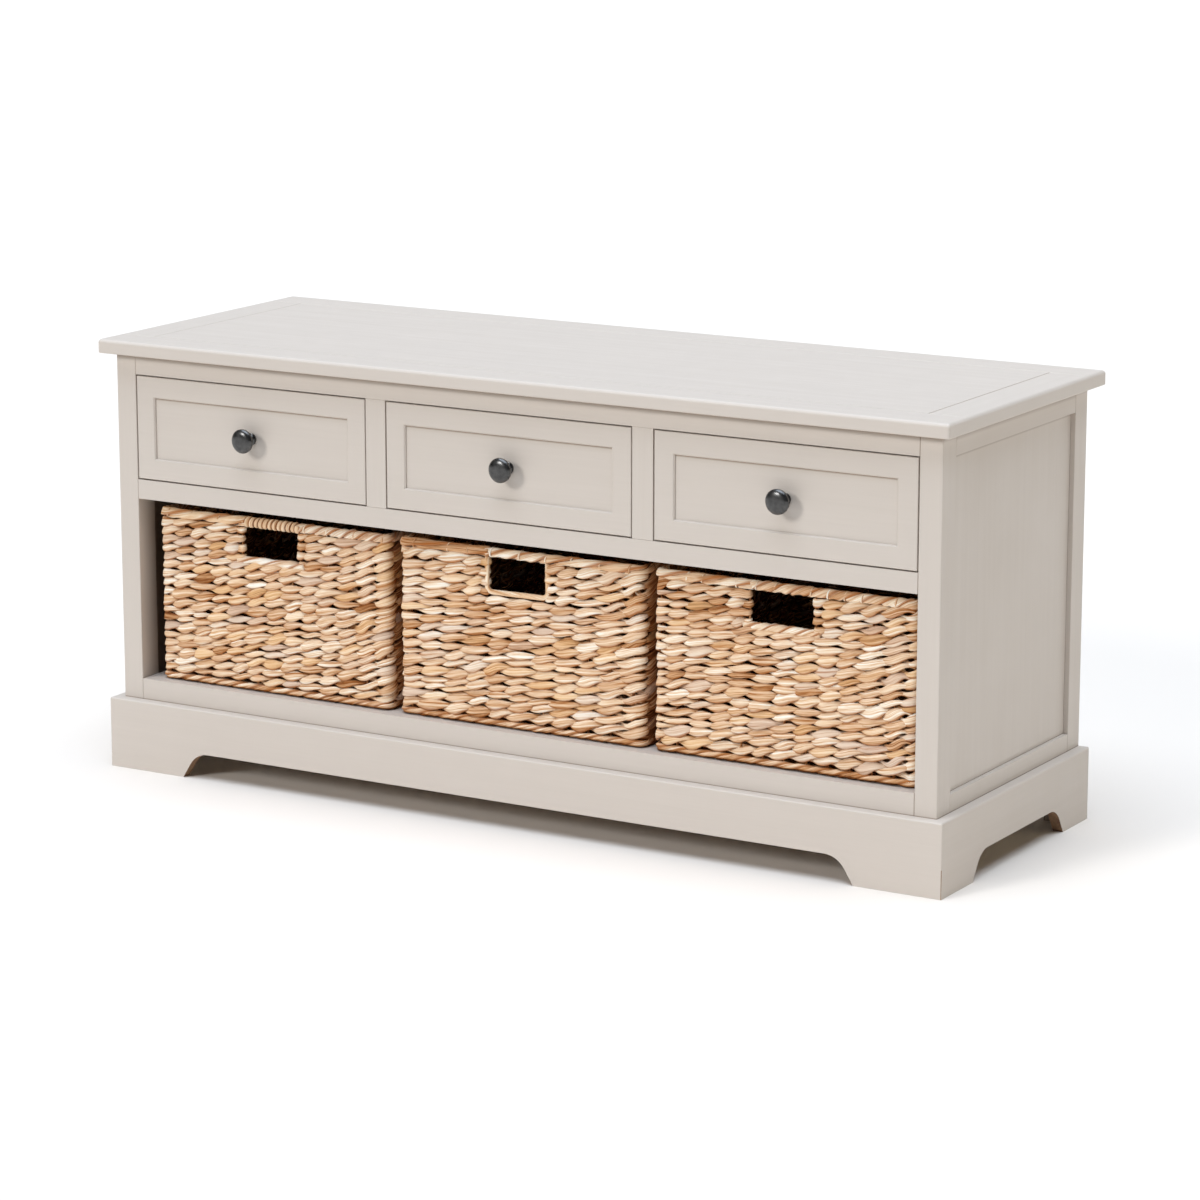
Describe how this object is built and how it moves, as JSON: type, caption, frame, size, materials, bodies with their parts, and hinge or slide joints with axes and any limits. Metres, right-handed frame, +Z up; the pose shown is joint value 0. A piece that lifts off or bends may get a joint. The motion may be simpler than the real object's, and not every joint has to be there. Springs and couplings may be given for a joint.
{
  "type": "entryway bench",
  "caption": "Low storage bench in painted wood, with a flat seat top, a row of inset drawers with knobs, and woven pull-out baskets in an open bay on a shaped plinth.",
  "frame": {"origin": "on the floor, in the middle of the bench's whole box, knobs included", "axes": "+Z up; +X along the length, to the right of someone facing the drawers; the drawers face -Y"},
  "size_m": [1.06, 0.385, 0.495],
  "materials": {
    "painted_wood": "satin paint, warm stone grey",
    "bare_wood": "plain wood, unpainted",
    "woven_fibre": "twisted natural fibre, straw to tan",
    "dark_metal": "dark pewter, satin",
    "steel": "zinc plated"
  },
  "bodies": {
    "carcass": {"top_rail_front": "painted_wood", "top_rail_back": "painted_wood", "top_ends": "painted_wood", "top_panel": "painted_wood", "post_front_left": "painted_wood", "post_front_right": "painted_wood", "post_back_left": "painted_wood", "post_back_right": "painted_wood", "side_panel_left": "painted_wood", "side_panel_right": "painted_wood", "side_rails": "painted_wood", "front_rail_top": "painted_wood", "front_rail_middle": "painted_wood", "front_rail_bottom": "painted_wood", "divider_stiles": "painted_wood", "back_rails": "painted_wood", "back_panel": "bare_wood", "bottom_shelf": "painted_wood", "middle_shelf": "bare_wood", "shelf_battens": "bare_wood", "drawer_partitions": "bare_wood", "drawer_guides": "bare_wood", "plinth_front": "painted_wood", "plinth_sides": "painted_wood", "top_screws": "steel"},
    "drawer_left": {"drawer_left_front_frame": "painted_wood", "drawer_left_front_panel": "painted_wood", "drawer_left_sides": "bare_wood", "drawer_left_back": "bare_wood", "drawer_left_bottom": "bare_wood", "drawer_left_knob": "dark_metal", "drawer_left_knob_screw": "steel"},
    "drawer_middle": {"drawer_middle_front_frame": "painted_wood", "drawer_middle_front_panel": "painted_wood", "drawer_middle_sides": "bare_wood", "drawer_middle_back": "bare_wood", "drawer_middle_bottom": "bare_wood", "drawer_middle_knob": "dark_metal", "drawer_middle_knob_screw": "steel"},
    "drawer_right": {"drawer_right_front_frame": "painted_wood", "drawer_right_front_panel": "painted_wood", "drawer_right_sides": "bare_wood", "drawer_right_back": "bare_wood", "drawer_right_bottom": "bare_wood", "drawer_right_knob": "dark_metal", "drawer_right_knob_screw": "steel"},
    "basket_left": {"basket_left_walls": "woven_fibre", "basket_left_base": "woven_fibre", "basket_left_rim": "woven_fibre", "basket_left_rim_wire": "steel"},
    "basket_middle": {"basket_middle_walls": "woven_fibre", "basket_middle_base": "woven_fibre", "basket_middle_rim": "woven_fibre", "basket_middle_rim_wire": "steel"},
    "basket_right": {"basket_right_walls": "woven_fibre", "basket_right_base": "woven_fibre", "basket_right_rim": "woven_fibre", "basket_right_rim_wire": "steel"}
  },
  "joints": [
    {"name": "drawer_left_slide", "type": "slide", "parent": "carcass", "child": "drawer_left", "axis": [0, -1, 0], "range_m": [0, 0.24]},
    {"name": "drawer_middle_slide", "type": "slide", "parent": "carcass", "child": "drawer_middle", "axis": [0, -1, 0], "range_m": [0, 0.24]},
    {"name": "drawer_right_slide", "type": "slide", "parent": "carcass", "child": "drawer_right", "axis": [0, -1, 0], "range_m": [0, 0.24]},
    {"name": "basket_left_slide", "type": "slide", "parent": "carcass", "child": "basket_left", "axis": [0, -1, 0], "range_m": [0, 0.36]},
    {"name": "basket_middle_slide", "type": "slide", "parent": "carcass", "child": "basket_middle", "axis": [0, -1, 0], "range_m": [0, 0.36]},
    {"name": "basket_right_slide", "type": "slide", "parent": "carcass", "child": "basket_right", "axis": [0, -1, 0], "range_m": [0, 0.36]}
  ]
}
